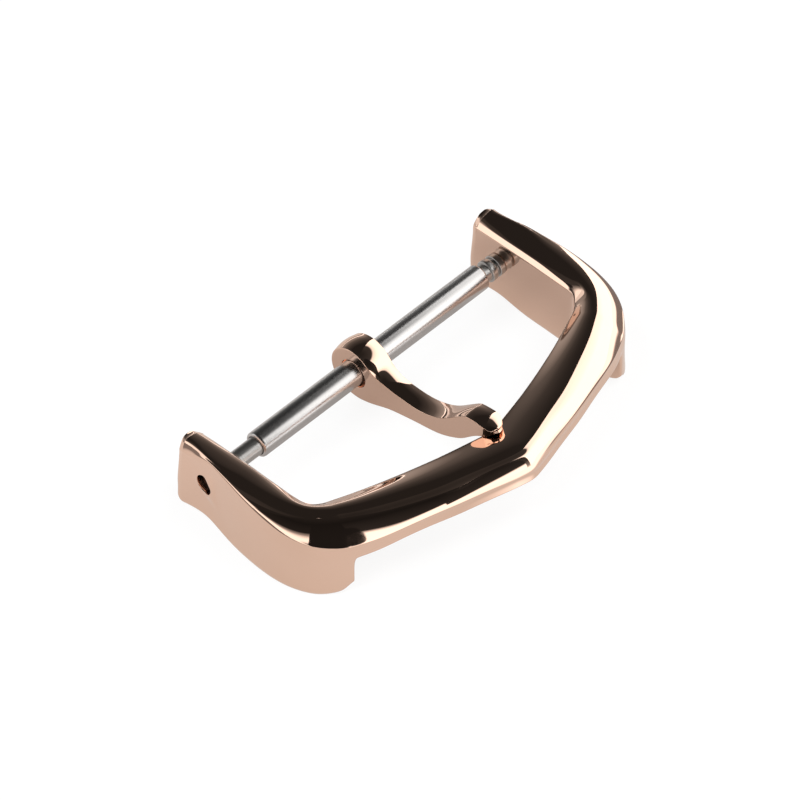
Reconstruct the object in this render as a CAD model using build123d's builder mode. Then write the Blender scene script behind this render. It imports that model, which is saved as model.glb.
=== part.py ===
"""A tang buckle for a watch strap, with its tang and its sprung bar.

The frame is one polished casting: two ears, two side walls that swell towards
rounded corners, and an arched cross bar that comes to a soft point in front.
The tang swings on the bar, and the bar is a tube with a sprung pin in each end.

Millimetres. The origin is the middle of the spring bar's axis. X runs along the
bar, the cross bar lies at -Y, and +Z is the polished top.
"""

import os
from math import cos, pi, radians, sin, sqrt, tan

from build123d import *

os.makedirs("parts", exist_ok=True)

# Strap and bar
inner_width = 18.0          # between the inner faces of the ears
bar_diameter = 1.3          # outside of the spring bar's tube

# Frame seen from above
ear_thickness = 1.4         # wall of the ear at the bar's axis
ear_overhang = 2.0          # from the bar's axis back to the rear face
corner_swell = 0.55         # how far the side walls swell past the ears
frame_reach = 10.88         # from the bar's axis to the outer point of the cross bar
window_reach = 8.25         # from the bar's axis to the inner point of the cross bar
window_shoulder = 5.1       # from the bar's axis to where the side walls meet the cross bar
window_corner_radius = 1.3
window_bow = 0.3            # how far the inner edge of the cross bar bows forward

# Frame seen from the side
foot_depth = 2.3            # underside of the side walls below the bar's axis
ear_edge_height = 1.62      # outer top edge at the ear
corner_edge_height = 0.86   # outer top edge at the corner
point_edge_height = 1.3     # outer top edge at the point of the cross bar
ear_crest_height = 1.8      # highest line of the rounded top at the ear
rear_crest_height = 1.75    # top of the ear at its rear end
rear_inner_height = 1.25    # inner top edge there
point_crest_height = 1.98   # highest line of the rounded top at the point
wall_inner_height = 1.43    # inner top edge of the side walls
rail_inner_height = 1.26    # inner top edge where the cross bar begins
point_inner_height = 1.66   # inner top edge at the point
ear_edge_round = 0.25       # width of the rounded outer edge at the ear
corner_edge_round = 1.05    # width of the rounded outer edge at the corner
edge_crease_angle = 24.0    # degrees short of a full quarter at the outer edge
rear_corner_radius = 0.42   # upright rear corners of the ears
rear_bottom_radius = 0.35   # lower rear edge of the ears
rear_lean_angle = 4.5       # degrees that the rear face leans forward at the top
heel_relief = 0.22          # shallow arch under the ear
heel_relief_reach = 1.3     # from the bar's axis to each end of that arch
window_point_radius = 2.5   # inside the point of the window

# Passage for the strap under the cross bar
passage_width = 17.5
rail_wall_height = 0.84     # upright front wall of the cross bar
foot_reach = 8.12           # from the bar's axis to the front of each foot
foot_corner_radius = 0.95   # lower front corner of each foot

# Pins of the spring bar
hole_diameter = 1.0         # hole through each ear
tip_clearance = 0.07        # between a pin's tip and its hole, all round
tip_length = 1.05           # of a pin inside its ear
tip_round = 0.2
seat_clearance = 0.02       # between a pin's flange and the ear
left_flange_length = 0.45
left_flange_diameter = 1.02
left_groove_length = 0.14
left_shoulder_length = 1.34  # plain shoulder between the left flange and the tube
shoulder_diameter = 0.92
right_flange_length = 0.34
right_flange_diameter = 1.12
right_groove_length = 0.16
right_neck_length = 0.34    # neck between the second right flange and the tube
groove_diameter = 0.84
lip_clearance = 0.03        # between a pin's shoulder and the tube's rolled lip
head_diameter = 1.06        # head that keeps a pin inside the tube
head_length = 0.8
head_stop_clearance = 0.03  # between the head and the rolled lip
bore_clearance = 0.03       # between the head and the tube's bore
lip_length = 0.22
lip_round = 0.14            # rolled outer edge of the tube

# Coil spring between the heads
spring_wire = 0.13
spring_clearance = 0.04     # between the coil and the tube's bore
spring_gap = 0.03           # between the coil's ends and the heads

# Tang
tang_eye_width = 1.3
tang_eye_radius = 1.55
tang_bar_clearance = 0.14   # between the tang's eye and the tube, all round
tang_eye_reach = 1.0        # from the bar's axis to where the eye's width ends
tang_shank_width = 1.02
tang_shank_reach = 2.0      # from the bar's axis to where the shank is slimmest
tang_tip_width = 1.2
tang_tip_overlap = 0.37     # how far the tip reaches over the cross bar
tang_tip_height = 2.42      # top of the tip above the bar's axis
tang_nose_rise = 0.3        # blunt end of the tip, up from its seat
tang_seat_clearance = 0.06  # between the tip and the cross bar

# How far cuts run past what they cut
overrun = 1.0

half_inner = inner_width / 2
half_ears = half_inner + ear_thickness
half_corners = half_ears + corner_swell
half_passage = passage_width / 2

# Stations of the frame's right half, from behind the ear round to the point.
# Outer place across and along, as shares of half_corners and frame_reach, then
# inner place across and along, as shares of half_inner and window_reach.
rear_across_share = half_ears / half_corners
station_shares = [
    (rear_across_share, 0.21, 1.0, 0.277),
    (rear_across_share, -0.02, 1.0, -0.026),
    (0.997, -0.375, 1.0, -0.465),
    (0.966, -0.570, 0.985, -0.605),
    (0.858, -0.697, 0.925, -0.672),
    (0.719, -0.783, 0.800, -0.725),
    (0.364, -0.903, 0.392, -0.873),
    (0.000, -1.000, 0.000, -1.000),
]
# How far each height, and the width of the rounded edge, has gone at a station
# from its corner value to its ear value, or from there on to its point value.
wall_station_count = 5
edge_height_shares = [0.3, 1.0, 0.66, 0.27, 0.0, 0.25, 0.78, 1.0]
crest_height_shares = [0.0, 0.0, 0.1, 0.1, 0.05, 0.05, 0.4, 1.0]
inner_height_shares = [0.85, 1.0, 1.0, 0.5, 0.2, 0.0, 0.4, 1.0]
edge_round_shares = [0.45, 0.0, 0.7, 1.0, 1.0, 0.95, 0.8, 0.65]
# How far along its crown each section is cut by the window's wall
crown_cut_share = 0.8


def between(low, high, share):
    """A value the given share of the way from low to high."""
    return low + (high - low) * share


def station_sizes(index):
    """Heights and edge width of the section at one station."""
    on_wall = index < wall_station_count
    far_edge = ear_edge_height if on_wall else point_edge_height
    far_inner = wall_inner_height if on_wall else point_inner_height
    edge = between(corner_edge_height, far_edge, edge_height_shares[index])
    crest = between(ear_crest_height, point_crest_height, crest_height_shares[index])
    inner = between(rail_inner_height, far_inner, inner_height_shares[index])
    rounding = between(ear_edge_round, corner_edge_round, edge_round_shares[index])
    if index == 0:
        crest = rear_crest_height
        inner = rear_inner_height
    return edge, crest, inner, rounding


def station_plane(index):
    """Upright plane from the outer face towards the window, and its span."""
    across, along, inner_across, inner_along = station_shares[index]
    outer = Vector(half_corners * across, frame_reach * along)
    inner = Vector(half_inner * inner_across, window_reach * inner_along)
    inward = (inner - outer).normalized()
    plane = Plane(origin=outer, x_dir=inward, z_dir=inward.cross(Vector(0, 0, 1)))
    return plane, (inner - outer).length


crease = radians(edge_crease_angle)
floor = -foot_depth - overrun


def station_section(index):
    """D-shaped section: upright outer wall, rounded edge, falling crown."""
    plane, span = station_plane(index)
    edge, crest, inner, rounding = station_sizes(index)
    rise = (crest - edge) / (1 - sin(crease))
    run = rounding / cos(crease)
    # The crown is a quarter of an ellipse, which the window's wall cuts near its end
    crown_reach = (span - rounding) / crown_cut_share
    crown_drop = (crest - inner) / (1 - sqrt(1 - crown_cut_share**2))
    span = rounding + crown_reach
    low = crest - crown_drop
    with BuildSketch(plane) as section:
        with BuildLine():
            Line((0, floor), (0, edge))
            EllipticalCenterArc(
                (rounding, crest - rise), run, rise, start_angle=90, arc_size=90 - edge_crease_angle
            )
            EllipticalCenterArc((rounding, low), crown_reach, crown_drop, start_angle=0, arc_size=90)
            Line((span, low), (span, floor))
            Line((span, floor), (0, floor))
        make_face()
    return section.sketch


rail_end_height = corner_edge_height - rail_wall_height
rail_point_height = point_edge_height - rail_wall_height
lean = tan(radians(rear_lean_angle))
rear_top = ear_overhang - lean * (rear_crest_height + foot_depth / 2)
rear_bottom = ear_overhang + lean * foot_depth / 2
far_front = -frame_reach - overrun
far_top = point_crest_height + overrun
far_rear = ear_overhang + overrun

with BuildPart() as frame:
    # The right half is two lofts: the side wall with its corner, then the rail
    sections = [station_section(index) for index in range(len(station_shares))]
    loft(sections=sections[:wall_station_count])
    loft(sections=sections[wall_station_count - 1 :])
    mirror(about=Plane.YZ)

    # Window between the side walls, open at the rear
    with BuildSketch(Plane.XY.offset(floor)):
        with BuildLine():
            Line((0, far_rear), (half_inner, far_rear))
            Line((half_inner, far_rear), (half_inner, -window_shoulder))
            bow = Vector(half_inner / 2, -(window_shoulder + window_reach) / 2 - window_bow)
            ThreePointArc((half_inner, -window_shoulder), bow, (0, -window_reach))
            mirror(about=Plane.YZ)
        make_face()
        front_corners = vertices().sort_by(Axis.Y)
        fillet(front_corners[1:3], radius=window_corner_radius)
        fillet(vertices().sort_by(Axis.Y)[0], radius=window_point_radius)
    extrude(amount=far_top - floor, mode=Mode.SUBTRACT)

    # Passage for the strap under the rail
    with BuildSketch(Plane.XZ.offset(window_shoulder)):
        with BuildLine():
            arch = Vector(half_passage / 2, between(rail_end_height, rail_point_height, 0.75))
            ThreePointArc((0, rail_point_height), arch, (half_passage, rail_end_height))
            Line((half_passage, rail_end_height), (half_passage, floor))
            Line((half_passage, floor), (0, floor))
            mirror(about=Plane.YZ)
        make_face()
    extrude(amount=frame_reach, mode=Mode.SUBTRACT)

    # Side outline: rounded feet, a shallow arch under each ear, a leaning rear
    with BuildSketch(Plane.YZ):
        with BuildLine():
            Line((far_front, far_top), (far_front, -foot_depth / 2))
            Line((far_front, -foot_depth / 2), (-foot_reach, -foot_depth / 2))
            Line((-foot_reach, -foot_depth / 2), (-foot_reach, -foot_depth))
            Line((-foot_reach, -foot_depth), (-heel_relief_reach, -foot_depth))
            ThreePointArc(
                (-heel_relief_reach, -foot_depth),
                (0, heel_relief - foot_depth),
                (heel_relief_reach, -foot_depth),
            )
            Line((heel_relief_reach, -foot_depth), (rear_bottom, -foot_depth))
            Line((rear_bottom, -foot_depth), (rear_top, rear_crest_height))
            Line((rear_top, rear_crest_height), (-foot_reach, far_top))
            Line((-foot_reach, far_top), (far_front, far_top))
        make_face()
        fillet(vertices().sort_by_distance((-foot_reach, -foot_depth))[0], radius=foot_corner_radius)
    extrude(amount=half_corners + overrun, both=True, mode=Mode.INTERSECT)

    # Rounded rear ends of the ears
    rear_facing = cos(2 * radians(rear_lean_angle))
    rear_faces = faces().filter_by(lambda face: face.normal_at().Y > rear_facing)
    ear_ends = rear_faces.filter_by(lambda face: face.center().Y > 0)
    uprights = ear_ends.edges().filter_by(lambda edge: abs(edge.center().Z) < ear_edge_height / 2)
    fillet(uprights, radius=rear_corner_radius)
    ear_ends = faces().filter_by(lambda face: face.normal_at().Y > rear_facing)
    heels = ear_ends.edges().filter_by(lambda edge: edge.center().Z < heel_relief - foot_depth)
    fillet(heels.filter_by(lambda edge: edge.center().Y > ear_thickness), radius=rear_bottom_radius)

    # Holes for the pins
    with Locations(Plane.YZ):
        Hole(radius=hole_diameter / 2)
    frame.part.label = "frame"
export_step(frame.part, "parts/frame.step")

# Spring bar, worked out from the ears inwards
left_seat = -half_inner + seat_clearance
right_seat = half_inner - seat_clearance
tube_left = left_seat + left_flange_length + left_groove_length + left_shoulder_length
tube_right = right_seat - 2 * right_flange_length - right_groove_length - right_neck_length
tip_diameter = hole_diameter - 2 * tip_clearance
bore_radius = head_diameter / 2 + bore_clearance
lip_radius = shoulder_diameter / 2 + lip_clearance
head_setback = lip_length + head_stop_clearance

with BuildPart() as bar_tube:
    # Half of the tube's section, with a rolled lip at each end
    with BuildSketch(Plane.XZ):
        with BuildLine():
            Polyline(
                (tube_left, lip_radius),
                (tube_left, bar_diameter / 2),
                (tube_right, bar_diameter / 2),
                (tube_right, lip_radius),
                (tube_right - lip_length, lip_radius),
                (tube_right - lip_length, bore_radius),
                (tube_left + lip_length, bore_radius),
                (tube_left + lip_length, lip_radius),
                close=True,
            )
        make_face()
        fillet(vertices().group_by(Axis.Y)[-1], radius=lip_round)
    revolve(axis=Axis.X)
    bar_tube.part.label = "bar_tube"
export_step(bar_tube.part, "parts/bar_tube.step")


def turned_section(start, inward, steps):
    """Half section of a pin, from (length, diameter) steps starting at its flange."""
    tip_end = start - inward * tip_length
    points = [(tip_end, 0), (tip_end, tip_diameter / 2), (start, tip_diameter / 2)]
    place = start
    for length, diameter in steps:
        points.append((place, diameter / 2))
        place = place + inward * length
        points.append((place, diameter / 2))
    points.append((place, 0))
    with BuildSketch(Plane.XZ) as section:
        with BuildLine():
            Polyline(*points, close=True)
        make_face()
        fillet(vertices().sort_by_distance((tip_end, tip_diameter / 2))[0], radius=tip_round)
    return section.sketch


left_steps = [
    (left_flange_length, left_flange_diameter),
    (left_groove_length, groove_diameter),
    (left_shoulder_length + head_setback, shoulder_diameter),
    (head_length, head_diameter),
]
right_steps = [
    (right_flange_length, right_flange_diameter),
    (right_groove_length, groove_diameter),
    (right_flange_length, right_flange_diameter),
    (right_neck_length + head_setback, shoulder_diameter),
    (head_length, head_diameter),
]

with BuildPart() as left_pin:
    add(turned_section(left_seat, 1, left_steps))
    revolve(axis=Axis.X)
    left_pin.part.label = "left_pin"
export_step(left_pin.part, "parts/left_pin.step")

with BuildPart() as right_pin:
    add(turned_section(right_seat, -1, right_steps))
    revolve(axis=Axis.X)
    right_pin.part.label = "right_pin"
export_step(right_pin.part, "parts/right_pin.step")

# The coil reaches from one pin's head to the other's. It is wound close and
# hidden in the tube, so it is modelled as the sleeve that its turns make
coil_radius = bore_radius - spring_clearance
coil_left = tube_left + head_setback + head_length + spring_gap
coil_right = tube_right - head_setback - head_length - spring_gap

with BuildPart() as coil_spring:
    with BuildSketch(Plane.YZ.offset(coil_left)):
        Circle(coil_radius)
        Circle(coil_radius - spring_wire, mode=Mode.SUBTRACT)
    extrude(amount=coil_right - coil_left)
    coil_spring.part.label = "coil_spring"
export_step(coil_spring.part, "parts/coil_spring.step")

# Side outline of the tang: places along as shares of tang_reach, heights as
# shares of the tip's height. The eye joins in above and below the bar.
eye_top_angle_share = 0.30
eye_bottom_angle_share = 0.71
tang_top_shares = [(0.150, 0.27), (0.215, 0.175), (0.555, 0.240), (0.680, 0.520), (0.815, 0.880)]
tang_under_shares = [(0.300, -0.365), (0.590, -0.120), (0.760, 0.165), (0.895, 0.600)]
tang_crest_shares = (0.925, 1.000)
tang_reach = window_reach + tang_tip_overlap


def eye_point(share):
    """Point on the tang's eye, a share of the way round from behind over the top."""
    turn = 2 * pi * share
    return Vector(tang_eye_radius * cos(turn), tang_eye_radius * sin(turn))


def tang_point(shares):
    """Point of the side outline from its shares of the reach and the tip's height."""
    along, height = shares
    return Vector(-tang_reach * along, tang_tip_height * height)


with BuildPart() as tang:
    with BuildSketch(Plane.YZ):
        with BuildLine():
            eye_top = eye_point(eye_top_angle_share)
            eye_bottom = eye_point(eye_bottom_angle_share)
            ThreePointArc(eye_bottom, eye_point(0), eye_top)
            seat = Vector(-window_reach, point_inner_height + tang_seat_clearance)
            nose = Vector(-tang_reach, seat.Y + tang_nose_rise)
            crest_point = tang_point(tang_crest_shares)
            Spline(eye_top, *[tang_point(shares) for shares in tang_top_shares], crest_point)
            Spline(eye_bottom, *[tang_point(shares) for shares in tang_under_shares], seat)
            Line(seat, nose)
            Line(nose, crest_point)
        make_face()
        Circle(tang_eye_radius)
    extrude(amount=tang_eye_width, both=True)
    with BuildSketch(Plane.XY.offset(-tang_eye_radius - overrun)):
        with BuildLine():
            tip_centre = tang_reach - tang_tip_width / 2
            side = [
                (tang_eye_width / 2, tang_eye_radius + overrun),
                (tang_eye_width / 2, -tang_eye_reach),
                (tang_shank_width / 2, -tang_shank_reach),
                (tang_tip_width / 2, -tip_centre),
            ]
            Polyline(*side)
            RadiusArc(side[-1], (0, -tang_reach), tang_tip_width / 2)
            mirror(about=Plane.YZ)
            Line((-side[0][0], side[0][1]), side[0])
        make_face()
    extrude(amount=far_top + tang_eye_radius + overrun + overrun, mode=Mode.INTERSECT)
    with Locations(Plane.YZ):
        Hole(radius=bar_diameter / 2 + tang_bar_clearance)
    tang.part.label = "tang"
export_step(tang.part, "parts/tang.step")
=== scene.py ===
# %% [markdown]
# # A tang buckle for a watch strap
#
# The real thing is a small polished casting in rose gold: two ears, two side
# walls and a cross bar with a soft point. A tang swings on a thin steel bar
# between the ears, and the bar has a sprung pin in each end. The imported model
# gives the coordinates that everything here is built in, so it is loaded first.

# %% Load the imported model
from math import atan2, cos, pi, radians, sin, sqrt

import bmesh
import bpy
import numpy as np
from mathutils import Matrix, Vector


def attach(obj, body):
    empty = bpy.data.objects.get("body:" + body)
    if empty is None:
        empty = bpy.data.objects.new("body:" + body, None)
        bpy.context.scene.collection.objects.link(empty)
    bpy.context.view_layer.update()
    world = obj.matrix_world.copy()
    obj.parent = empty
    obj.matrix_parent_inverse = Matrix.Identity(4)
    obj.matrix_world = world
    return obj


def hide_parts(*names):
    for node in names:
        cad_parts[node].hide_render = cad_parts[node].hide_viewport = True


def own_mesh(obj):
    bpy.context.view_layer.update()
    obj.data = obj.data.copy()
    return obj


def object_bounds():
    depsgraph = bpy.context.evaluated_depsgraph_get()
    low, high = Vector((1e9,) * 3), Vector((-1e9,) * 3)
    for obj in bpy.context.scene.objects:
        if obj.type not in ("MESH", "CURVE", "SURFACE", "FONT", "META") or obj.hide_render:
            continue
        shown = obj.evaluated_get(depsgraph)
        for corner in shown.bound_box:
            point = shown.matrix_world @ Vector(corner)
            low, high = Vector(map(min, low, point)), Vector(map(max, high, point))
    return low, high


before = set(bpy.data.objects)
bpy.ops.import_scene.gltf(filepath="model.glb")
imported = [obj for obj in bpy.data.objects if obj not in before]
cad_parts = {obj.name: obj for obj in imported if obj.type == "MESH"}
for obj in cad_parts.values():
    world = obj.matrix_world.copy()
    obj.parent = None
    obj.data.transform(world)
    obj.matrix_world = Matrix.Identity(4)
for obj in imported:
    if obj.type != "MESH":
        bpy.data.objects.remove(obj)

cad_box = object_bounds()
MM = 0.001
scene = bpy.context.scene
print("box in mm:", [[round(v / MM, 2) for v in corner] for corner in cad_box])

# %% [markdown]
# ## The camera
#
# A picture like this is taken with a long lens from about half a metre, so its
# lines hardly converge. The camera looks down at the buckle from the front
# left. The direction and the lens could be guessed by eye, but they were worked
# out from points whose places are known, such as the ends of the bar. The
# middle of the bar isn't in the middle of the picture, so the camera stands a
# little to the right and below, and no lens shift is needed.

# %% Camera
PICTURE = 800
bearing = radians(-45.986)
elevation = radians(47.182)
distance = 513.8 * MM
pixels_per_mm = 21.721
bar_middle = (363.18, 364.65)

right = Vector((cos(bearing), sin(bearing), 0))
ahead = Vector((-sin(bearing) * cos(elevation), cos(bearing) * cos(elevation), -sin(elevation)))
upward = right.cross(ahead)
sideways = (PICTURE / 2 - bar_middle[0]) / pixels_per_mm * MM
lower = (PICTURE / 2 - bar_middle[1]) / pixels_per_mm * MM

camera_data = bpy.data.cameras.new("camera")
camera_data.sensor_width = 36
camera_data.lens = pixels_per_mm * (distance / MM) / PICTURE * camera_data.sensor_width
camera_data.clip_start = 0.01
camera = bpy.data.objects.new("camera", camera_data)
camera.matrix_world = Matrix((right, upward, -ahead)).transposed().to_4x4()
camera.location = -ahead * distance + right * sideways - upward * lower
scene.collection.objects.link(camera)
scene.camera = camera
scene.view_settings.view_transform = "Standard"
print("lens in mm:", round(camera_data.lens, 1))

# %% [markdown]
# ## Shader maths
#
# Materials are nodes, and a sum of nodes is hard to read in code. This small
# class wraps one socket, so that a sum or product of sockets is written as an
# expression and adds its own Math nodes. Any other node comes from `node`.

# %% Materials as expressions
class Wire:
    """One output socket of a material's node tree."""

    def __init__(self, tree, socket):
        self.tree = tree
        self.socket = socket

    def maths(self, operation, *values):
        made = node(self.tree, "ShaderNodeMath", {"operation": operation}, dict(enumerate(values)))
        return Wire(self.tree, made.outputs[0])

    def __add__(self, other):
        return self.maths("ADD", self, other)

    def __radd__(self, other):
        return self.maths("ADD", other, self)

    def __sub__(self, other):
        return self.maths("SUBTRACT", self, other)

    def __rsub__(self, other):
        return self.maths("SUBTRACT", other, self)

    def __mul__(self, other):
        return self.maths("MULTIPLY", self, other)

    def __rmul__(self, other):
        return self.maths("MULTIPLY", other, self)

    def __truediv__(self, other):
        return self.maths("DIVIDE", self, other)

    def __pow__(self, other):
        return self.maths("POWER", self, other)

    def __abs__(self):
        return self.maths("ABSOLUTE", self)


def node(tree, kind, settings=None, inputs=None):
    """One node: its settings first, then the values or links of its sockets."""
    made = tree.nodes.new(kind)
    for name, value in (settings or {}).items():
        if name == "stops":
            ramp = made.color_ramp
            while len(ramp.elements) < len(value):
                ramp.elements.new(0.5)
            for element, (place, colour) in zip(ramp.elements, value):
                element.position = place
                element.color = colour
        else:
            setattr(made, name, value)
    for name, value in (inputs or {}).items():
        socket = made.inputs[name]
        if isinstance(value, Wire):
            tree.links.new(value.socket, socket)
        else:
            socket.default_value = value
    return made


def object_place(tree):
    """Object coordinates, in metres from the middle of the bar."""
    return Wire(tree, node(tree, "ShaderNodeTexCoord").outputs["Object"])


def noise(tree, place, scale, detail=2.0, stretch=(1, 1, 1)):
    """Smooth noise from 0 to 1, with `scale` lumps to a metre."""
    mapped = node(tree, "ShaderNodeMapping", {}, {"Vector": place, "Scale": stretch})
    made = node(
        tree,
        "ShaderNodeTexNoise",
        {},
        {"Vector": Wire(tree, mapped.outputs["Vector"]), "Scale": scale, "Detail": detail},
    )
    return Wire(tree, made.outputs["Fac"])


def fade(tree, value, start, end):
    """0 up to the start, 1 from the end on and a smooth step between them."""
    made = node(
        tree,
        "ShaderNodeMapRange",
        {"interpolation_type": "SMOOTHSTEP"},
        {"Value": value, "From Min": start, "From Max": end},
    )
    return Wire(tree, made.outputs[0])


def blend_colours(tree, share, first, second):
    """A colour the given share of the way from first to second."""
    mix = node(tree, "ShaderNodeMix", {"data_type": "RGBA"}, {"Factor": share})
    for index, value in ((6, first), (7, second)):
        if isinstance(value, Wire):
            tree.links.new(value.socket, mix.inputs[index])
        else:
            mix.inputs[index].default_value = value
    return Wire(tree, mix.outputs[2])


def new_material(name):
    """An empty node material and its output node."""
    material = bpy.data.materials.new(name)
    material.use_nodes = True
    material.node_tree.nodes.clear()
    output = node(material.node_tree, "ShaderNodeOutputMaterial")
    return material, material.node_tree, output


print("shader helpers ready")

# %% [markdown]
# ## The polished finishes
#
# Rose gold plate on a polished casting is a mirror, so nearly all of its look is
# what it reflects. Its own share is the pink colour, slow waves about two
# millimetres long that polishing leaves, and hairlines so fine that they only
# widen the highlights a little. A metal of one colour and one roughness would
# do from afar, but looks like foil close up, so both vary by a few hundredths.
# The steel of the bar is harder and greyer, with faint turning marks round it.

# %% Rose gold
def rose_gold(name, light, deep, wave=0.006):
    """Polished plate: two close pinks, faint haze and slow waves in the surface."""
    material, tree, output = new_material(name)
    place = object_place(tree)
    clouds = noise(tree, place, 320.0, 3.0)
    haze = noise(tree, place, 2600.0, 4.0)
    slow = noise(tree, place, 520.0, 1.0)
    hairs = noise(tree, place, 9000.0, 2.0, (1.0, 0.12, 1.0))
    bump = node(
        tree,
        "ShaderNodeBump",
        {},
        {"Strength": wave, "Distance": 0.0002, "Height": slow * 0.8 + hairs * 0.04},
    )
    shader = node(
        tree,
        "ShaderNodeBsdfPrincipled",
        {},
        {
            "Base Color": blend_colours(tree, clouds, deep, light),
            "Metallic": 1.0,
            "Roughness": 0.025 + haze * 0.03,
            "Normal": Wire(tree, bump.outputs["Normal"]),
        },
    )
    tree.links.new(shader.outputs[0], output.inputs["Surface"])
    return material


rose_gold_finish = rose_gold("rose_gold_polish", (0.88, 0.63, 0.51, 1), (0.84, 0.585, 0.46, 1))
tang_finish = rose_gold("rose_gold_tang_polish", (0.87, 0.61, 0.49, 1), (0.82, 0.56, 0.43, 1))
print("rose gold:", rose_gold_finish.name, "and", tang_finish.name)


# %% Steel
# Painted shade on the ends of the pins, where they sit deep in the ears' holes.
painted_shade_fade = 0.15            # over how many millimetres the end of a pin turns dark


def turned_steel(name, light, deep, roughness, ridge, painted_shade_from=None):
    """Steel with turning marks that run round the bar, so they change along X.

    Past the place that the last argument gives, in millimetres along the bar, it
    is painted dark as shade: the end of a pin sits deep in its hole.
    """
    material, tree, output = new_material(name)
    place = object_place(tree)
    marks = noise(tree, place, 14000.0, 3.0, (1.0, 0.03, 0.03))
    clouds = noise(tree, place, 700.0, 3.0)
    bump = node(tree, "ShaderNodeBump", {}, {"Strength": ridge, "Distance": 0.00002, "Height": marks})
    colour = blend_colours(tree, clouds * 0.6 + marks * 0.4, deep, light)
    # Painted shade: the end of a pin is darkened where it sits in the ear's hole.
    if painted_shade_from:
        split = node(tree, "ShaderNodeSeparateXYZ", {}, {0: place})
        along = Wire(tree, split.outputs[0])
        past = fade(tree, abs(along), painted_shade_from * MM, (painted_shade_from + painted_shade_fade) * MM)
        colour = blend_colours(tree, past, colour, (0.02, 0.016, 0.014, 1))
    shader = node(
        tree,
        "ShaderNodeBsdfPrincipled",
        {},
        {
            "Base Color": colour,
            "Metallic": 1.0,
            "Roughness": roughness + marks * 0.04,
            "Normal": Wire(tree, bump.outputs["Normal"]),
        },
    )
    tree.links.new(shader.outputs[0], output.inputs["Surface"])
    return material


tube_finish = turned_steel(
    "bar_steel_turned", (0.64, 0.63, 0.63, 1), (0.57, 0.56, 0.56, 1), roughness=0.24, ridge=0.05
)
pin_finish = turned_steel(
    "pin_steel_turned", (0.62, 0.61, 0.60, 1), (0.46, 0.45, 0.44, 1), roughness=0.3, ridge=0.2, painted_shade_from=9.85
)
spring_finish = turned_steel(
    "spring_steel_drawn", (0.55, 0.54, 0.53, 1), (0.40, 0.39, 0.38, 1), roughness=0.24, ridge=0.3
)
print("steel:", tube_finish.name, pin_finish.name, spring_finish.name)

# %% [markdown]
# ## The studio
#
# A mirror finish shows little but its surroundings, so the studio is most of
# its look. A photographer builds a tent of cards round a piece like this: black
# above, so that the rounded tops turn dark, and white lower down at the sides
# and in front, which draws the pale bands below the tops. The walls look down
# at the table. A finished surroundings picture could do the same, but cards can
# be moved one by one until each band is where the picture has it.

# %% Paper for the table and the cards
def larger(one, other):
    """The larger of two wires."""
    return one.maths("MAXIMUM", one, other)


def seen_rays(tree):
    """Two wires: 1 for camera rays, and 1 for rays from the camera, off a mirror or through glass."""
    path = node(tree, "ShaderNodeLightPath")
    rays = ("Is Camera Ray", "Is Glossy Ray", "Is Transmission Ray")
    camera_ray, glossy_ray, glass_ray = (Wire(tree, path.outputs[ray]) for ray in rays)
    return camera_ray, larger(larger(camera_ray, glossy_ray), glass_ray)


def direction(azimuth, height):
    """Unit vector towards an azimuth from +Y towards +X and a height, both in degrees."""
    across, up = radians(azimuth), radians(height)
    return Vector((sin(across) * cos(up), cos(across) * cos(up), sin(up)))


def card_paper(name, tint, stops):
    """Glowing paper whose brightness follows the height above the table, in degrees."""
    material, tree, output = new_material(name)
    split = node(tree, "ShaderNodeSeparateXYZ", {}, {0: object_place(tree)})
    x, y, z = (Wire(tree, split.outputs[k]) for k in range(3))
    rise = z / (x * x + y * y + z * z) ** 0.5
    height = rise.maths("ARCSINE", rise) * (180 / pi)
    full = max(level for _, level in stops)
    ramp_stops = [
        (degree / 90, [channel * level / full for channel in tint] + [1]) for degree, level in stops
    ]
    ramp = node(tree, "ShaderNodeValToRGB", {"stops": ramp_stops}, {"Fac": height / 90})
    colour = Wire(tree, ramp.outputs["Color"])
    glow = node(tree, "ShaderNodeEmission", {}, {"Color": colour, "Strength": full})
    tree.links.new(glow.outputs[0], output.inputs["Surface"])
    return material


def studio_object(name, bm, material):
    """A piece of the studio: it lights the buckle and is no part of it."""
    mesh = bpy.data.meshes.new(name)
    bm.to_mesh(mesh)
    bm.free()
    made = bpy.data.objects.new(name, mesh)
    made.data.materials.append(material)
    scene.collection.objects.link(made)
    return made


# %% [markdown]
# The buckle lies on plain white paper, and its walls mirror that paper. The
# bands in them tell that it isn't evenly lit: it is darkest in a strip on the
# right and beyond the left wall, dim inside the frame, and bright in front and
# far to the right. Many small lamps could light a sheet like that, but painting
# the light on as glow is simpler and steadier. The camera sees the sheet white.

# %% Light on the table
table_paper, table_tree, table_output = new_material("table_paper")
camera_ray, seen_ray = seen_rays(table_tree)
split = node(table_tree, "ShaderNodeSeparateXYZ", {}, {0: object_place(table_tree)})
table_x, table_y = (Wire(table_tree, split.outputs[k]) for k in range(2))


def table_fade(value, start, end):
    """A smooth step over the table between two places in millimetres."""
    return fade(table_tree, value, start * MM, end * MM)


def table_band(value, low, high, soft):
    """1 between two places in millimetres, with soft edges, and 0 beyond them."""
    rise = table_fade(value - low * MM, -soft, soft)
    fall = table_fade((value - high * MM) * -1, -soft, soft)
    return rise * fall


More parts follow.
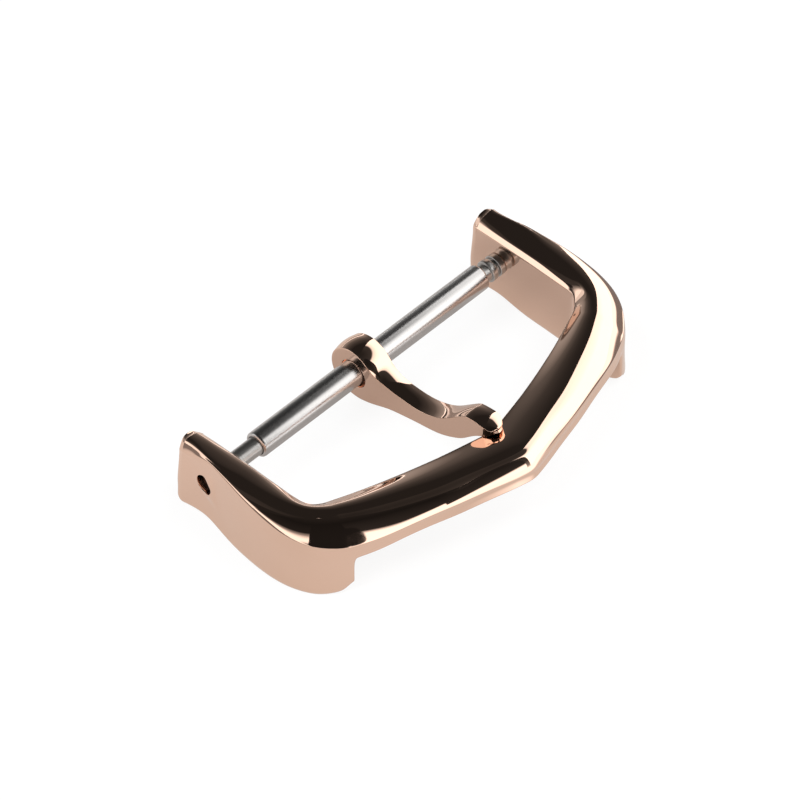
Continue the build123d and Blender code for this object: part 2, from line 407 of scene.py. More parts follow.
right_glow = table_fade(table_x, 30, 35)
front_glow = table_fade(table_y * -1 - abs(table_x) * 0.5, 12, 16)
bright = larger(right_glow, front_glow)
dark = larger(table_band(table_x, 13.0, 29.5, soft=1.0), table_fade(table_x * -1, 17, 21))
framed = table_band(table_x, -8.5, 8.5, soft=1.5) * table_band(table_y, -8.0, 4.0, soft=1.5)
uneven = noise(table_tree, object_place(table_tree), 90.0, 1.0)
mirrored = blend_colours(table_tree, uneven, (0.30, 0.28, 0.255, 1), (0.38, 0.355, 0.34, 1))
for share, colour in (
    (framed, (0.225, 0.205, 0.19, 1)),
    (dark, (0.04, 0.032, 0.03, 1)),
    (bright, (0.9, 0.88, 0.86, 1)),
):
    mirrored = blend_colours(table_tree, share, mirrored, colour)
shown = blend_colours(table_tree, camera_ray, mirrored, (0.5, 0.5, 0.5, 1))
print("light on the table takes", len(table_tree.nodes), "nodes so far")

# %% Table
floor_level = cad_box[0][2]
table_half_size = 0.8
glow_share = 0.88           # the rest is matt paper, which takes the buckle's soft shadow
glow = node(table_tree, "ShaderNodeEmission", {}, {"Color": shown, "Strength": 2.0})
matt = node(table_tree, "ShaderNodeBsdfDiffuse", {}, {"Color": (1, 1, 1, 1)})
mix = node(table_tree, "ShaderNodeMixShader", {}, {"Fac": seen_ray * glow_share})
table_tree.links.new(matt.outputs[0], mix.inputs[1])
table_tree.links.new(glow.outputs[0], mix.inputs[2])
table_tree.links.new(mix.outputs[0], table_output.inputs["Surface"])

sheet = bmesh.new()
bmesh.ops.create_grid(
    sheet, x_segments=1, y_segments=1, size=table_half_size, matrix=Matrix.Translation((0, 0, floor_level))
)
studio_object("table", sheet, table_paper)
print("table at", round(floor_level / MM, 2), "mm")

# %% [markdown]
# The tent stands 0.65 m away all round. Each card covers a span of azimuth and
# has its own run of brightness from the table upwards: on a real set that is
# the height of the paper and how far the lamps behind it reach. The right side
# is bright and tall, the front, the left and the back are bright but low, and
# the rest is dark, round the camera and at the back right. One smooth dome
# could hold the same light, but a list of cards says plainly which side makes
# which band. The camera looks through them.

# %% Tent of cards
# Azimuths from +Y towards +X, then how bright the card is at each height, all
# in degrees.
tent = [
    ("card_behind", (-4, 63), [(0, 0.40), (8, 0.28), (18, 0.12), (32, 0.055), (48, 0.02), (85, 0.02)]),
    ("card_right", (63, 161), [(0, 2.0), (34, 2.0), (46, 1.7), (54, 1.3), (58, 0.05), (85, 0.02)]),
    ("card_gap", (161, 169), [(0, 1.2), (6, 0.3), (20, 0.05), (60, 0.015), (85, 0.02)]),
    ("card_front_right", (169, 180), [(0, 1.9), (12, 1.8), (16, 0.03), (60, 0.012), (85, 0.02)]),
    ("card_front", (180, 202.6), [(0, 1.9), (23, 1.8), (27, 0.03), (60, 0.012), (85, 0.02)]),
    ("card_camera", (202.6, 234), [(0, 0.4), (3, 0.04), (20, 0.015), (60, 0.012), (85, 0.02)]),
    (
        "card_left",
        (234, 296),
        [(0, 0.03), (8, 0.03), (12, 1.5), (25, 1.6), (29, 0.4), (33, 0.02), (60, 0.012), (85, 0.02)],
    ),
    (
        "card_side_left",
        (296, 308),
        [(0, 0.03), (3, 0.3), (6, 1.3), (28, 1.5), (33, 0.3), (38, 0.02), (85, 0.02)],
    ),
    ("card_back_left", (308, 332), [(0, 0.6), (4, 1.2), (27, 1.3), (34, 0.35), (42, 0.05), (85, 0.02)]),
    (
        "card_back",
        (332, 345),
        [(0, 0.35), (10, 0.9), (30, 1.0), (38, 0.30), (46, 0.08), (56, 0.02), (85, 0.02)],
    ),
    ("card_back_right", (345, 356), [(0, 0.35), (25, 0.20), (42, 0.08), (56, 0.02), (85, 0.02)]),
]
tent_radius = 0.65
tent_top = 89.5             # height of the cards' upper edge, in degrees
column_span = 4             # degrees of azimuth that one column of faces covers
warm_white = (1.0, 0.985, 0.96)
for name, (start, end), stops in tent:
    bm = bmesh.new()
    columns = max(2, round((end - start) / column_span))
    bmesh.ops.create_grid(bm, x_segments=columns, y_segments=24, size=0.5)
    for vert in bm.verts:
        azimuth = start + (end - start) * (vert.co.x + 0.5)
        vert.co = direction(azimuth, tent_top * (vert.co.y + 0.5)) * tent_radius
    card = studio_object(name, bm, card_paper(name, warm_white, stops))
    card.visible_camera = False
print(len(tent), "cards")

# %% [markdown]
# Two large lamps and a plain white world light the matt share of the table, so
# that the buckle's shadow on it is soft. A single small lamp would throw a hard
# one. No mirror shows the lamps, because the cards already stand there.

# %% World and lamps
world = bpy.data.worlds.new("studio")
scene.world = world
world.use_nodes = True
background = world.node_tree.nodes["Background"]
background.inputs["Color"].default_value = (1, 1, 1, 1)
background.inputs["Strength"].default_value = 1.0


def softbox(name, azimuth, height, far, size, power):
    """A white area lamp that looks at the buckle. Its light is soft, and no mirror shows it."""
    data = bpy.data.lights.new(name, "AREA")
    data.shape = "RECTANGLE"
    data.size, data.size_y = size
    data.energy = power
    lamp = bpy.data.objects.new(name, data)
    place = direction(azimuth, height) * far
    lamp.matrix_world = (-place).to_track_quat("-Z", "Y").to_matrix().to_4x4()
    lamp.location = place
    lamp.visible_glossy = False
    scene.collection.objects.link(lamp)
    return lamp


softbox("softbox_left", azimuth=-70, height=55, far=0.4, size=(0.3, 0.2), power=1.2)
softbox("softbox_front", azimuth=160, height=60, far=0.4, size=(0.25, 0.2), power=0.8)
print("world strength", background.inputs["Strength"].default_value, "and two softboxes")

# %% [markdown]
# ## The frame
#
# The frame is a smooth casting with a few crisp lines: the ridge outside, the
# edge of the window and the underside. A boolean of plain solids would leave
# creases in the reflections, so it is a subdivision cage instead. A ring of
# points is extruded from station to station, from the back of one ear round to
# the point of the cross bar, and the other half is its mirror.

# %% Stations of the cage
# Outer place and inner place in plan, then the heights of the underside, the
# ridge, the crest and the window's edge, the width of the rounded edge, and how
# far the wall below bulges out past the ridge.
stations = [
    ((10.365, 1.40), (9.0, 1.40), -0.95, 1.19, 1.765, 1.25, 0.46, 0.0),
    ((10.36, 0.95), (9.0, 0.95), -0.95, 1.22, 1.780, 1.31, 0.42, 0.0),
    ((10.385, 0.0), (9.0, 0.0), -0.95, 1.600, 1.797, 1.41, 0.25, 0.0),
    ((10.50, -0.95), (9.0, -0.95), -0.95, 1.665, 1.805, 1.475, 0.31, 0.0),
    ((10.65, -1.85), (9.0, -1.85), -0.75, 1.610, 1.810, 1.50, 0.58, 0.01),
    ((10.79, -2.75), (9.0, -2.70), -0.50, 1.525, 1.814, 1.485, 0.76, 0.02),
    ((10.875, -3.75), (9.0, -3.55), -0.25, 1.410, 1.817, 1.445, 0.93, 0.03),
    ((10.88, -4.70), (9.0, -4.23), -0.12, 1.285, 1.819, 1.405, 1.08, 0.04),
    ((10.76, -5.62), (8.96, -4.72), -0.06, 1.140, 1.819, 1.33, 1.22, 0.06),
    ((10.48, -6.43), (8.80, -5.03), -0.10, 1.005, 1.818, 1.24, 1.32, 0.11),
    ((10.04, -7.09), (8.55, -5.28), -0.12, 0.900, 1.815, 1.18, 1.39, 0.15),
    ((9.47, -7.64), (8.25, -5.46), -0.12, 0.835, 1.810, 1.16, 1.42, 0.15),
    ((9.16, -7.87), (8.07, -5.55), -0.11, 0.834, 1.809, 1.17, 1.42, 0.145),
    ((8.81, -8.07), (7.85, -5.64), -0.08, 0.842, 1.808, 1.18, 1.42, 0.13),
    ((7.80, -8.57), (7.10, -5.96), 0.10, 0.940, 1.810, 1.22, 1.38, 0.09),
    ((6.63, -9.01), (6.00, -6.41), 0.30, 1.080, 1.820, 1.30, 1.28, 0.04),
    ((5.30, -9.45), (4.75, -6.87), 0.42, 1.215, 1.843, 1.385, 1.14, 0.0),
    ((4.00, -9.86), (3.55, -7.28), 0.44, 1.265, 1.872, 1.47, 1.00, 0.0),
    ((2.60, -10.22), (2.35, -7.65), 0.44, 1.260, 1.905, 1.55, 0.90, 0.0),
    ((1.30, -10.58), (1.20, -7.96), 0.46, 1.270, 1.940, 1.62, 0.82, 0.0),
    ((0.45, -10.79), (0.42, -8.15), 0.48, 1.285, 1.967, 1.648, 0.79, 0.0),
    ((0.0, -10.85), (0.0, -8.20), 0.48, 1.295, 1.976, 1.655, 0.78, 0.0),
]
ear_bevel = 0.20            # narrow flat along the window's edge, at the ears
bar_bevel = 0.06            # the same along the cross bar
bevel_change = (5, 9)       # stations between which one becomes the other
bevel_slope = 1.2           # how far the flat falls for each millimetre of its width
crown_cut = 0.8             # the window's wall cuts the crown's quarter ellipse here
ridge_angle = 24.0          # the ridge is this many degrees short of a full quarter round
wall_top = 0.95             # highest place of the walls' upper corners
below_ridge = 0.16          # those of the outer wall stay this far below the ridge
below_window = 0.5          # and those of the inner wall this far below the window's edge
back_stations = 2           # stations at the back of the ear, with a fuller shoulder
back_shoulder = (0.34, 0.76)    # its place, as shares of the rounded edge's width and height
print(len(stations), "stations from the ear to the point")

# %% One ring of the cage
RING = 13
OUTER_LOW, OUTER_MID, OUTER_HIGH, RIDGE, SHOULDER, CREST, CROWN = range(7)
EDGE_TOP, EDGE_SIDE, INNER_HIGH, INNER_MID, INNER_LOW, UNDER = range(7, RING)

# How far across the underside its middle line runs. At the corner it leaves the
# window's wall and crosses to the outside, because it is the wall of the passage
# for the strap, and what lies outside it is the foot.
under_shares = {7: 0.6, 8: 0.8, 9: 0.965, 10: 0.86, 11: 0.60, 12: 0.36, 13: 0.07}


def ring_place(index, corner):
    """Place of one corner of the ring at one station, in millimetres."""
    outer, inner, low, edge, crest, window, rounding, bulge = stations[index]
    outer, inner = Vector(outer).to_3d(), Vector(inner).to_3d()
    span = (inner - outer).length
    high = min(wall_top, edge - below_ridge)
    inner_high = min(wall_top, window - below_window)
    start = cos(radians(ridge_angle))
    rise = (crest - edge) / (1 - sin(radians(ridge_angle)))
    reach = (span - rounding) / crown_cut
    drop = (crest - window) / (1 - sqrt(1 - crown_cut**2))
    shoulder = 0.5 * (pi / 2 + radians(ridge_angle))
    at_ear = (bevel_change[1] - index) / (bevel_change[1] - bevel_change[0])
    edge_bevel = bar_bevel + (ear_bevel - bar_bevel) * min(max(at_ear, 0), 1)
    edge_cut = (span - edge_bevel - rounding) / reach
    edge_top = crest - drop * (1 - sqrt(1 - edge_cut**2))
    shoulder_across = bulge + rounding - rounding / start * cos(shoulder)
    shoulder_place = (shoulder_across, crest - rise + rise * sin(shoulder))
    if index < back_stations:
        shoulder_place = (back_shoulder[0] * rounding, edge + back_shoulder[1] * (crest - edge))
    mid_crown = 0.5 * crown_cut
    across, height = {
        OUTER_LOW: (0, low),
        OUTER_MID: (0, (low + high) / 2),
        OUTER_HIGH: (bulge / 3, high),
        RIDGE: (bulge, edge),
        SHOULDER: shoulder_place,
        CREST: (rounding, crest),
        CROWN: (rounding + mid_crown * reach, crest - drop * (1 - sqrt(1 - mid_crown**2))),
        EDGE_TOP: (span - edge_bevel, edge_top),
        EDGE_SIDE: (span, edge_top - bevel_slope * edge_bevel),
        INNER_HIGH: (span, inner_high),
        INNER_MID: (span, (low + inner_high) / 2),
        INNER_LOW: (span, low),
        UNDER: (span * under_shares.get(index, 0.5), low),
    }[corner]
    place = outer + (inner - outer) * (across / span)
    place.z = height
    return place


print("ring of", RING, "corners; ridge at station 0:", [round(v, 2) for v in ring_place(0, RIDGE)])

# %% Extrude the ring from station to station
def extrude_row(bm, row, closed=False):
    """Extrude the edges that join a row of corners; returns the new corners in the same order."""
    pairs = zip(row, row[1:] + row[:1] if closed else row[1:])
    made = bmesh.ops.extrude_edge_only(bm, edges=[bm.edges.get(pair) for pair in pairs])["geom"]
    fresh = [item for item in made if isinstance(item, bmesh.types.BMVert)]
    return [next(new for new in fresh if (new.co - old.co).length < 1e-6) for old in row]


cage = bmesh.new()
crease = cage.edges.layers.float.new("crease_edge")
rings = [list(bmesh.ops.create_circle(cage, segments=RING, radius=1.0)["verts"])]
for index in range(len(stations)):
    if index > 0:
        rings.append(extrude_row(cage, rings[-1], closed=True))
    for k, vert in enumerate(rings[-1]):
        vert.co = ring_place(index, k)
print("cage so far:", len(cage.verts), "corners,", len(cage.faces), "faces")

# %% [markdown]
# The back of an ear is a rounded knob. A bevel could round it, but it would be
# as wide at the top as at the sides. Three more rings, each drawn in towards
# the middle of the section and lowered at the top, make it instead, and one
# face closes the end.

# %% Rounded back of the ear
# Place along Y, how far the sides are drawn in and how far the top is lowered.
back_rings = [(1.66, 0.01, 0.02), (1.87, 0.09, 0.13), (1.96, 0.32, 0.40)]
back_lean = 0.078           # the back leans forward at the top by this much a millimetre
lean_middle = -1.15         # height at which the places along Y hold
lowered_shares = {
    OUTER_HIGH: 0.7,
    RIDGE: 0.8,
    SHOULDER: 0.85,
    CREST: 0.62,
    CROWN: 0.42,
    EDGE_TOP: 0.38,
    EDGE_SIDE: 0.38,
    INNER_HIGH: 0.3,
}
outer, inner = ring_place(0, OUTER_LOW).x, ring_place(0, INNER_LOW).x
for reach, inset, lowered in back_rings:
    rings.insert(0, extrude_row(cage, rings[0], closed=True))
    for k, vert in enumerate(rings[0]):
        flat = ring_place(0, k)
        share = (flat.x - (outer + inner) / 2) / (outer - inner) * 2
        vert.co.x = flat.x - share * inset
        vert.co.z = flat.z - lowered * lowered_shares.get(k, 0)
        vert.co.y = reach - back_lean * (vert.co.z - lean_middle)
back = bmesh.ops.contextual_create(cage, geom=rings[0])["faces"]
print("back of the ear closed with", len(back), "face")

# %% [markdown]
# The side walls and the feet reach down below the cross bar. Separate blocks
# joined on would leave a seam, so their part of the underside is extruded down
# from the cage, in two steps. The foot's front corner is round and the ear has
# a shallow arch under it, so the lowest height depends on the place along Y.

# %% Side walls and feet
extra = len(back_rings)     # rings before the one at the first station
round_end = 2               # the back of the ear has no crease up to this ring
axis_ring = 2 + extra       # the ring on the bar's axis
ear_end = 8 + extra         # the creases of the ear and its side wall run to here
walls_end = 9 + extra       # the side wall's inner face runs to here
foot_end = 13 + extra       # the foot, which is narrower, runs to here

foot_bottom = -2.265
toe_end, toe_radius = -8.09, 0.95       # round front corner of the foot
arch_reach, arch_rise = 1.3, 0.215      # arch under the ear, to both sides of the bar's axis
heel_start, heel_length, heel_rise = 1.6, 0.4, 0.45     # lift under the back of the ear


def lowest(y):
    """Height of the underside at a place along the side wall."""
    if y < toe_end + toe_radius:
        return foot_bottom + toe_radius - sqrt(max(toe_radius**2 - (toe_end + toe_radius - y) ** 2, 0.0))
    if y > heel_start:
        return foot_bottom + heel_rise * ((y - heel_start) / heel_length) ** 2
    if abs(y) < arch_reach:
        return foot_bottom + arch_rise * (1 - (y / arch_reach) ** 2)
    return foot_bottom


def strip(index, one, two):
    """The face between two corners of neighbouring rings."""
    corners = {rings[index][one], rings[index][two], rings[index + 1][one], rings[index + 1][two]}
    return next(face for face in rings[index][one].link_faces if set(face.verts) == corners)


under = [strip(index, UNDER, OUTER_LOW) for index in range(foot_end)]
under += [strip(index, INNER_LOW, UNDER) for index in range(walls_end)]
for share in (0.5, 1.0):
    made = bmesh.ops.extrude_face_region(cage, geom=under)["geom"]
    bmesh.ops.delete(cage, geom=under, context="FACES")
    under = [item for item in made if isinstance(item, bmesh.types.BMFace)]
    for vert in {vert for face in under for vert in face.verts}:
        vert.co.z += share * (lowest(vert.co.y) - vert.co.z)
# The sole's outline, without the edge across the toe, will be kept crisp.
toe = min(vert.co.y for face in under for vert in face.verts) + 0.1
sole = [
    edge
    for edge in {edge for face in under for edge in face.edges}
    if sum(face in under for face in edge.link_faces) == 1
    and not all(vert.co.y < toe for vert in edge.verts)
]
print("walls and foot extruded:", len(cage.faces), "faces")

# %% [markdown]
# Each ear has a hole for the bar's pin. A boolean with a cylinder would cut
# through the smooth faces in long thin ones. Here the four faces round the
# hole's middle come out, and the gap is drawn in to a ring of eight corners,
# which subdivision turns into a circle. The two rims are bridged through the
# ear.

# %% Holes for the pins
hole_radius = 0.5
collar_radius = hole_radius * 1.45      # a ring of faces that holds the wall round the hole nearly flat


def open_hole(corner):
    """A round opening at a corner of the ring on the bar's axis; returns its rim."""
    middle = rings[axis_ring][corner]
    rim = [edge for face in middle.link_faces for edge in face.edges if middle not in edge.verts]
    bmesh.ops.delete(cage, geom=[middle], context="VERTS")
    for radius in (collar_radius, hole_radius):
        made = bmesh.ops.extrude_edge_only(cage, edges=rim)["geom"]
        rim = [item for item in made if isinstance(item, bmesh.types.BMEdge)]
        for vert in {vert for edge in rim for vert in edge.verts}:
            turn = atan2(vert.co.z, vert.co.y)
            vert.co.y = cos(turn) * radius
            vert.co.z = sin(turn) * radius
    return rim


outer_rim = open_hole(OUTER_MID)
inner_rim = open_hole(INNER_MID)
bridge = bmesh.ops.bridge_loops(cage, edges=outer_rim + inner_rim)["faces"]
print("hole bridged with", len(bridge), "faces")

# %% [markdown]
# Subdivision rounds everything. A bevel on each crisp edge would add faces to
# the cage, where a crease only needs a number: the higher it is, the smaller
# the radius that is left. The lines of the casting that catch the light get one
# each. The ridge and the upper edges of the cross bar are softest, the window's
# edge is crisper along the ears, and the edges of the underside and the rims of
# the holes are crispest.

# %% Creases along the crisp lines
def line_along(corner, start, end):
    """Edges that join one corner of neighbouring rings."""
    found = [cage.edges.get((rings[i][corner], rings[i + 1][corner])) for i in range(start, end)]
    return [edge for edge in found if edge]


last = len(rings) - 1
creased = [
    (line_along(RIDGE, round_end, ear_end), 0.25),
    (line_along(RIDGE, ear_end, last), 0.1),
    (line_along(EDGE_TOP, round_end, ear_end), 0.65),
    (line_along(EDGE_SIDE, round_end, ear_end), 0.65),
    (line_along(EDGE_SIDE, ear_end, last), 0.2),
    (line_along(OUTER_LOW, foot_end, last), 0.75),
    (line_along(INNER_LOW, walls_end, last), 0.75),
    (sole, 0.75),
    (outer_rim + inner_rim, 0.8),
]
for edges, sharpness in creased:
    for edge in edges:
        edge[crease] = sharpness
print("creased lines:", len(creased))

# %% Mirror the other half and close up
def open_edges(bm):
    """How many edges don't join exactly two faces; 0 in a closed mesh."""
    return sum(len(edge.link_faces) != 2 for edge in bm.edges)


merge_distance = 0.001      # in millimetres, as the whole cage is
half_cage = cage.verts[:] + cage.edges[:] + cage.faces[:]
bmesh.ops.mirror(cage, geom=half_cage, axis="X", merge_dist=merge_distance)
bmesh.ops.remove_doubles(cage, verts=cage.verts, dist=merge_distance)
bmesh.ops.recalc_face_normals(cage, faces=cage.faces)
print("frame cage:", len(cage.faces), "faces,", open_edges(cage), "open edges")

# %% [markdown]
# Every piece ends the same way: scaled to metres, shaded smooth, and tied to
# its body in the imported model, in place of that model's plain node. The frame
# and the tang are also subdivided. A modifier could stay on them, but it draws
# the surface inside the cage, and the cage's corners are where the surface has
# to be. So the corners are pushed out until the surface passes through them.

# %% Finish a piece
def finished_piece(name, bm, material, body, node_name):
    """A mesh object made from a bmesh in millimetres, riding on its body in place of its node."""
    bmesh.ops.scale(bm, verts=bm.verts, vec=(MM, MM, MM))
    mesh = bpy.data.meshes.new(name)
    bm.to_mesh(mesh)
    bm.free()
    for polygon in mesh.polygons:
        polygon.use_smooth = True
    piece = bpy.data.objects.new(name, mesh)
    mesh.materials.append(material)
    scene.collection.objects.link(piece)
    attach(piece, body)
    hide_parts(node_name)
    return piece


def smooth_through_corners(piece, level=3, rounds=8, left_round=None):
    """Subdivide a piece so that its surface passes through its cage's corners.

    Each round moves every corner by what the surface misses it by. Where
    `left_round` says so of a corner's place, it stays, and the surface with it
    inside the cage. The smooth mesh then takes the cage's place. Returns the
    largest miss that is left.
    """
    modifier = piece.modifiers.new("smooth", "SUBSURF")
    modifier.levels = level
    modifier.render_levels = level
    wanted = [vert.co.copy() for vert in piece.data.vertices]
    for _ in range(rounds):
        graph = bpy.context.evaluated_depsgraph_get()
        shown = piece.evaluated_get(graph)
        surface = shown.to_mesh()
        miss = []
        for index, goal in enumerate(wanted):
            fixed = left_round and left_round(goal)
            miss.append(Vector() if fixed else goal - surface.vertices[index].co)
        shown.to_mesh_clear()
        for vert, step in zip(piece.data.vertices, miss):
            vert.co += step
        piece.data.update()
    shown = piece.evaluated_get(bpy.context.evaluated_depsgraph_get())
    piece.data = bpy.data.meshes.new_from_object(shown)
    piece.data.name = piece.name
    piece.modifiers.clear()
    return max(step.length for step in miss)


print("helpers to finish a piece ready")


# %% Finish the frame
toe_start, toe_top = -7.8, -0.04        # place along Y and height


def at_toe(place):
    """Whether a corner of the cage lies at the round front of a foot."""
    return place.y < toe_start * MM and place.z < toe_top * MM


buckle = finished_piece("buckle_frame", cage, rose_gold_finish, "frame", "frame")
print("largest miss in mm:", round(smooth_through_corners(buckle, left_round=at_toe) / MM, 4))

# %% [markdown]
# ## The tang
#
# The tang is bent up from a rod that is flat on both sides: an eye round the
# bar, a slim shank with a domed top that sags towards the strap, and a tip that
# rises onto the cross bar. A curve with a section swept along it could make the
# shank, but not the eye that it runs into. So its side is drawn first as a flat
# sheet of faces, a ring for the eye and a strip for the shank. The sheet is
# then extruded across in six steps, and the rows between the two sides are
# raised to make the dome.

# %% Side of the tang
bore_radius = 0.77
eye_radius = 1.38
eye_drop = 0.10             # the eye hangs this far below the bar's axis
eye_segments = 16
# Places along Y and heights of the shank's top edge and underside, eye to tip.
shank = [
    ((-1.27, 0.60), (-0.55, -1.43)),
    ((-1.78, 0.40), (-1.35, -1.24)),
    ((-2.40, 0.30), (-2.10, -1.02)),
    ((-3.10, 0.28), (-2.90, -0.80)),
    ((-3.80, 0.31), (-3.75, -0.59)),
    ((-4.45, 0.44), (-4.60, -0.40)),
    ((-5.05, 0.67), (-5.40, -0.18)),
    ((-5.60, 1.00), (-6.10, 0.14)),
    ((-6.10, 1.42), (-6.75, 0.54)),
    ((-6.55, 1.82), (-7.20, 0.95)),
    ((-6.92, 2.11), (-7.60, 1.33)),
    ((-7.15, 2.22), (-7.90, 1.56)),
    ((-7.65, 2.30), (-8.15, 1.70)),
    ((-8.15, 2.27), (-8.38, 1.80)),
    ((-8.46, 2.12), (-8.54, 1.95)),
]
tang_cage = bmesh.new()
tang_crease = tang_cage.edges.layers.float.new("crease_edge")
bmesh.ops.create_circle(
    tang_cage, segments=eye_segments, radius=bore_radius, matrix=Matrix.Rotation(pi / 2, 4, "Y")
)
made = bmesh.ops.extrude_edge_only(tang_cage, edges=tang_cage.edges[:])["geom"]
eye_rim = [item for item in made if isinstance(item, bmesh.types.BMVert)]
for vert in eye_rim:
    vert.co *= eye_radius / bore_radius
bmesh.ops.translate(tang_cage, verts=tang_cage.verts, vec=(0, 0, -eye_drop))

# The front of the rim, from the top edge down, becomes the shank's first column.
# The two corners above it are moved a little, to lead the eye's top into the
# shank's.
front = sorted((vert for vert in eye_rim if vert.co.y < -0.5), key=lambda vert: -vert.co.z)
front[0].co.z -= 0.03
front[1].co.y, front[1].co.z = -0.92, 0.89
column = front[2:]


def place_column(column, top, underside):
    """Spread a column's corners evenly from the top edge to the underside."""
    for k, vert in enumerate(column):
        share = k / (len(column) - 1)
        vert.co.y = top[0] + (underside[0] - top[0]) * share
        vert.co.z = top[1] + (underside[1] - top[1]) * share


place_column(column, *shank[0])
for top, underside in shank[1:]:
    column = extrude_row(tang_cage, column)
    place_column(column, top, underside)
print("side of the tang:", len(tang_cage.verts), "corners,", len(tang_cage.faces), "faces")

# %% Extrude the tang's side across
across_shares = (-1.0, -0.8, -0.42, 0.0, 0.42, 0.8, 1.0)
# Half the tang's width at places along Y, from the tip back to the eye.
width_places = (-8.62, -8.6, -8.55, -8.46, -8.3, -8.15, -7.9, -7.0, -5.0, -3.2, -2.0, -1.5, -1.0, 2.0)
half_widths = (0.0, 0.15, 0.28, 0.40, 0.51, 0.56, 0.575, 0.57, 0.545, 0.515, 0.52, 0.58, 0.66, 0.66)
dome_rise = 0.105           # how far the middle of the top stands above its edges
tip_reach = 0.14            # how far the middle of the tip stands out
eye_swell = 0.08            # how much the middle of the eye's rim swells, as a share
eye_front = -1.2            # the rim ends here along Y
rim_radius = 1.2            # and lies outside this distance from the eye's axis

sheet = tang_cage.faces[:]
first_side = tang_cage.verts[:]
for step in range(1, len(across_shares)):
    made = bmesh.ops.extrude_face_region(tang_cage, geom=sheet)["geom"]
    if step > 1:
        bmesh.ops.delete(tang_cage, geom=sheet, context="FACES")
    sheet = [item for item in made if isinstance(item, bmesh.types.BMFace)]
    for vert in {vert for face in sheet for vert in face.verts}:
        vert.co.x = across_shares[step]
for vert in first_side:
    vert.co.x = across_shares[0]

top_edge = {(round(y, 3), round(z, 3)) for (y, z), _ in shank}
end_column = {(round(vert.co.y, 3), round(vert.co.z, 3)) for vert in column}
for vert in tang_cage.verts:
    share = vert.co.x
    key = (round(vert.co.y, 3), round(vert.co.z, 3))
    round_off = 1 - share**2
    if key in end_column:
        vert.co.y -= tip_reach * round_off
    if key in top_edge:
        vert.co.z += dome_rise * round_off
    elif key[0] > eye_front and Vector((key[0], key[1] + eye_drop)).length > rim_radius:
        vert.co.y *= 1 + eye_swell * round_off
        vert.co.z *= 1 + eye_swell * round_off
    vert.co.x = share * float(np.interp(key[0], width_places, half_widths))
print("tang extruded:", len(tang_cage.verts), "corners")

# %% Edges of the tang
# Edges that turn sharply and run along a side are kept crisp, those round the
# top of the tip less so.
bmesh.ops.recalc_face_normals(tang_cage, faces=tang_cage.faces)
sharp_turn = radians(50)
tip_start, tip_height = -6.9, 1.9
for edge in tang_cage.edges:
    one, two = (vert.co for vert in edge.verts)
    middle = (one + two) / 2
    along_side = abs(one.x - two.x) < 0.2
    if along_side and edge.calc_face_angle(0) > sharp_turn:
        edge[tang_crease] = 0.35 if middle.y < tip_start and middle.z > tip_height else 0.6
print("tang cage:", len(tang_cage.faces), "faces,", open_edges(tang_cage), "open edges")
tang_piece = finished_piece("tang_piece", tang_cage, tang_finish, "tang", "tang")
print("largest miss in mm:", round(smooth_through_corners(tang_piece) / MM, 4))

# %% [markdown]
# ## The bar
#
# The tube and the pins are turned on a lathe. Stacked cylinders could stand in
# for them, but would leave faces inside, so each is a half section spun round
# the bar's axis. The ends of the tube are rolled in, which keeps the heads of
# the pins inside. The edges are broken with a small bevel, because a sharp edge
# on turned steel would never catch the light.

# %% Lathe
def turned_piece(name, section, material, body, node_name, segments=96):
    """Spin a closed section of (place along X, radius, bevel) round the X axis."""
    bm = bmesh.new()
    verts = []
    for x, radius, _ in section:
        verts += bmesh.ops.create_vert(bm, co=(x, 0, radius))["vert"]
    on_axis = section[0][1] == 0
    pairs = list(zip(verts, verts[1:] + verts[:1]))
    for one, two in pairs[:-1] if on_axis else pairs:
        bmesh.ops.contextual_create(bm, geom=[one, two])
    bmesh.ops.spin(
        bm,
        geom=bm.verts[:] + bm.edges[:],
        axis=(1, 0, 0),
        cent=(0, 0, 0),
        angle=2 * pi,
        steps=segments,
        use_merge=True,
    )
    bmesh.ops.remove_doubles(bm, verts=bm.verts, dist=1e-5)
    bmesh.ops.recalc_face_normals(bm, faces=bm.faces)
    for x, radius, bevel in section:
        rim = [
            edge
            for edge in bm.edges
            if all(abs(v.co.x - x) < 1e-4 and abs(v.co.yz.length - radius) < 1e-4 for v in edge.verts)
        ]
        if bevel and rim:
            bmesh.ops.bevel(
                bm,
                geom=rim,
                offset=bevel,
                segments=4,
                profile=0.5,
                affect="EDGES",
                material=-1,
                clamp_overlap=True,
            )
    print(name, len(bm.faces), "faces,", open_edges(bm), "open edges")
    return finished_piece(name, bm, material, body, node_name)


# %% Tube
tube_left, tube_right = -7.05, 7.80
lip = 0.22                  # length of the rolled ends
tube_section = [
    (tube_left, 0.49, 0.02),
    (tube_left, 0.65, 0.13),
    (tube_right, 0.65, 0.13),
    (tube_right, 0.49, 0.02),
    (tube_right - lip, 0.49, 0.02),
    (tube_right - lip, 0.56, 0.02),
    (tube_left + lip, 0.56, 0.02),
    (tube_left + lip, 0.49, 0.02),
]
turned_piece("bar_tube_piece", tube_section, tube_finish, "bar_tube", "bar_tube")

# %% [markdown]
# A pin shows a tip that sits in the ear, a flange that a fork tool can pull
# back, and a shoulder or a neck. Its head is hidden in the tube. The left pin
# has a single flange and a long bare shoulder, the right one a double flange.

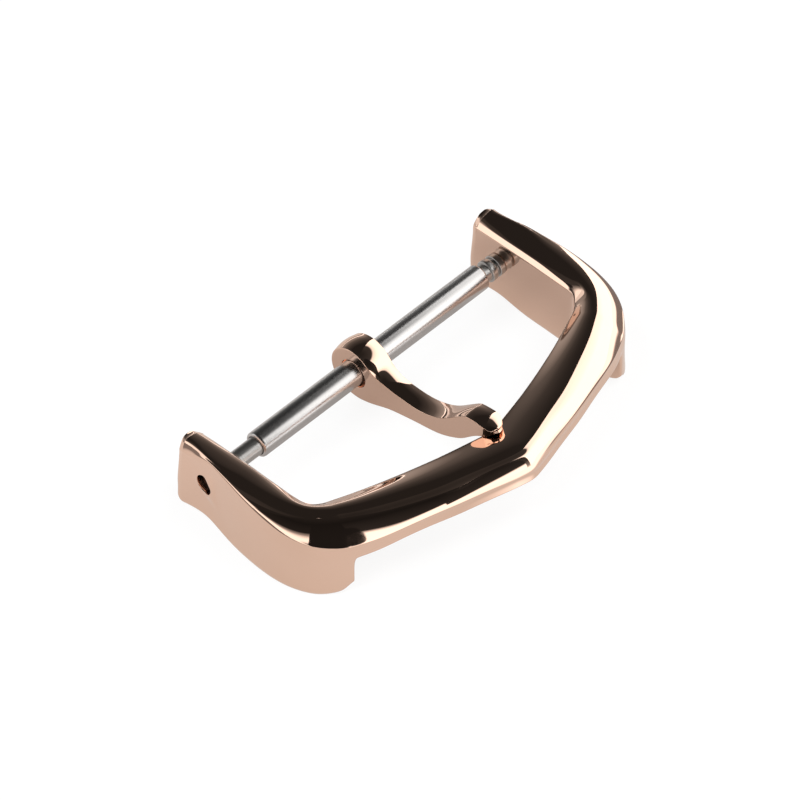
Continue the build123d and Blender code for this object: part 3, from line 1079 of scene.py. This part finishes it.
# %% Pins
left_section = [
    (-10.03, 0.0, 0),
    (-10.03, 0.43, 0.16),
    (-8.965, 0.43, 0.015),
    (-8.965, 0.51, 0.03),
    (-8.53, 0.51, 0.04),
    (-8.53, 0.42, 0.015),
    (-8.39, 0.42, 0.015),
    (-8.39, 0.46, 0.02),
    (-6.80, 0.46, 0.015),
    (-6.80, 0.53, 0.03),
    (-6.00, 0.53, 0.05),
    (-6.00, 0.0, 0),
]
turned_piece("left_pin_piece", left_section, pin_finish, "left_pin", "left_pin")
right_section = [
    (10.03, 0.0, 0),
    (10.03, 0.43, 0.16),
    (8.965, 0.43, 0.015),
    (8.965, 0.56, 0.05),
    (8.64, 0.56, 0.05),
    (8.64, 0.42, 0.015),
    (8.48, 0.42, 0.015),
    (8.48, 0.56, 0.05),
    (8.14, 0.56, 0.05),
    (8.14, 0.46, 0.015),
    (7.55, 0.46, 0.015),
    (7.55, 0.53, 0.03),
    (6.75, 0.53, 0.05),
    (6.75, 0.0, 0),
]
turned_piece("right_pin_piece", right_section, pin_finish, "right_pin", "right_pin")

# %% [markdown]
# The spring that pushes the pins apart is wound from fine wire and lies between
# their heads, so nothing of it shows while the bar is whole. A spiral curve
# could draw it, but one spin of a small ring that also moves along the bar is
# enough for each half. The halves meet in the middle.

# %% Coil spring
steps_per_turn, wire_radius, coil_radius = 20, 0.06, 0.455
coil_middle = 0.375         # place along the bar where the halves meet


def half_coil(name, end, turns):
    """Half of the coil, from its middle to a pin's head."""
    coil = bmesh.new()
    first = (coil_middle, 0, coil_radius)
    bmesh.ops.create_circle(coil, segments=8, radius=wire_radius, matrix=Matrix.Translation(first))
    bmesh.ops.rotate(coil, verts=coil.verts, cent=first, matrix=Matrix.Rotation(pi / 2, 3, "X"))
    steps = turns * steps_per_turn
    bmesh.ops.spin(
        coil,
        geom=coil.verts[:] + coil.edges[:],
        axis=(1, 0, 0),
        cent=(0, 0, 0),
        dvec=((end - coil_middle) / steps, 0, 0),
        angle=2 * pi * turns * (1 if end > coil_middle else -1),
        steps=steps,
    )
    bmesh.ops.holes_fill(coil, edges=[edge for edge in coil.edges if len(edge.link_faces) == 1])
    bmesh.ops.recalc_face_normals(coil, faces=coil.faces)
    print(name, len(coil.faces), "faces,", open_edges(coil), "open edges")
    piece = finished_piece(name, coil, spring_finish, "bar_tube", "coil_spring")
    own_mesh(piece)


half_coil("coil_spring_left_piece", -5.90, 15)
half_coil("coil_spring_right_piece", 6.65, 15)
